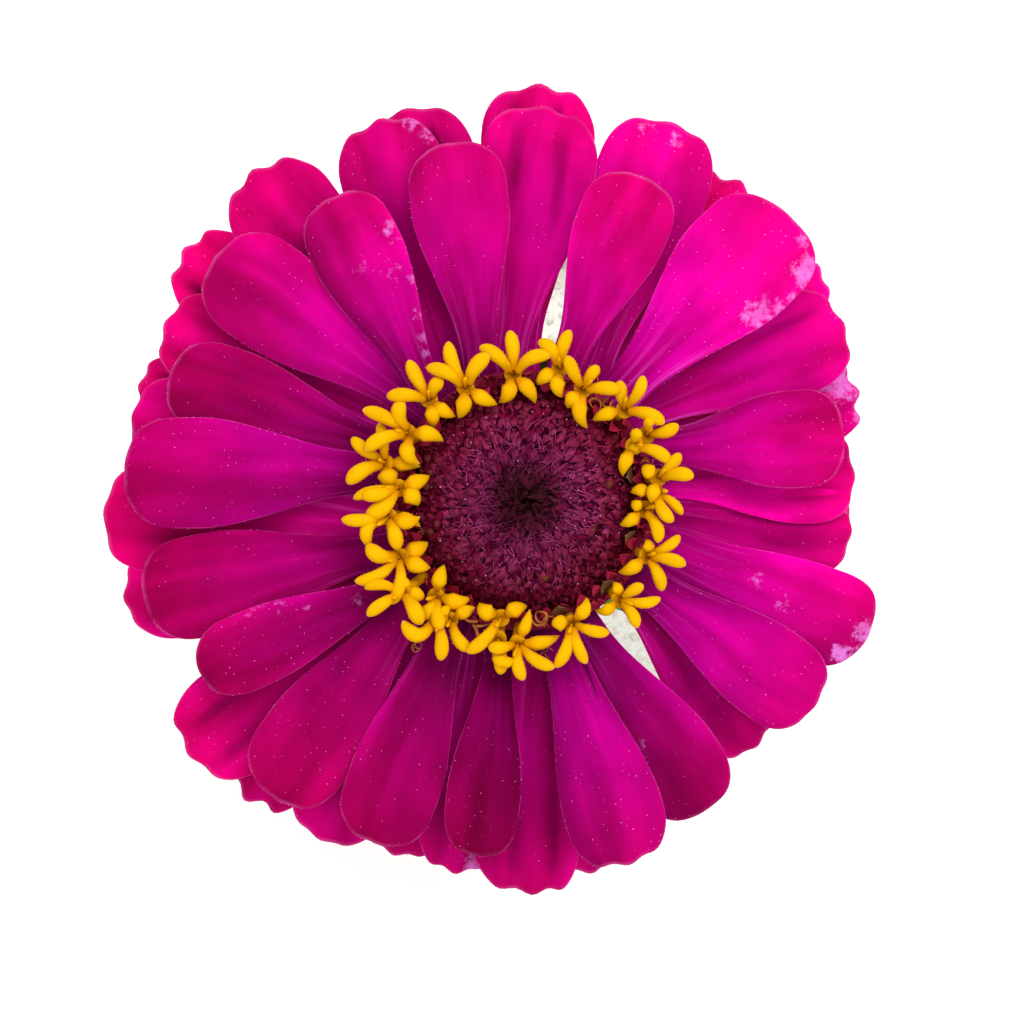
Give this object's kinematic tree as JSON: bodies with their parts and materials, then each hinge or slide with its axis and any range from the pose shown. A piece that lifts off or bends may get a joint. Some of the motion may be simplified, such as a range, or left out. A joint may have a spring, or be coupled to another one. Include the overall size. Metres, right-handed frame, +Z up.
{
  "type": "potted zinnia",
  "caption": "Zinnia with an open magenta bloom, yellow disc florets, paired leaves and a side bud, growing in a plain round clay pot of compost.",
  "frame": {"origin": "centre of the pot's base ring, on the surface that the pot stands on", "axes": "+Z up along the pot's axis; +X and +Y are right and up as the bloom is seen from straight above"},
  "size_m": [0.1045, 0.104, 0.2428],
  "materials": {
    "pot_clay": "unglazed terracotta, matt and dusty",
    "compost": "damp crumbly potting compost",
    "stem_green": "green stem with fine hairs",
    "leaf_green": "matt leaf, slightly rough",
    "bract_green": "matt green bracts with dark edges",
    "ray_magenta": "velvety petals, deep magenta",
    "disc_maroon": "dark maroon fringed scales",
    "floret_yellow": "plump yellow florets, slightly waxy"
  },
  "bodies": {
    "root": {"pot": "pot_clay", "compost": "compost", "stem": "stem_green", "leaf_1a": "leaf_green", "leaf_1b": "leaf_green", "leaf_2a": "leaf_green", "leaf_2b": "leaf_green", "leaf_3a": "leaf_green", "leaf_3b": "leaf_green", "leaf_4a": "leaf_green", "leaf_4b": "leaf_green", "leaf_5a": "leaf_green", "leaf_5b": "leaf_green", "side_shoot": "bract_green", "involucre": "bract_green", "ray_florets": "ray_magenta", "disc_cone": "disc_maroon", "disc_florets": "floret_yellow"}
  },
  "joints": []
}
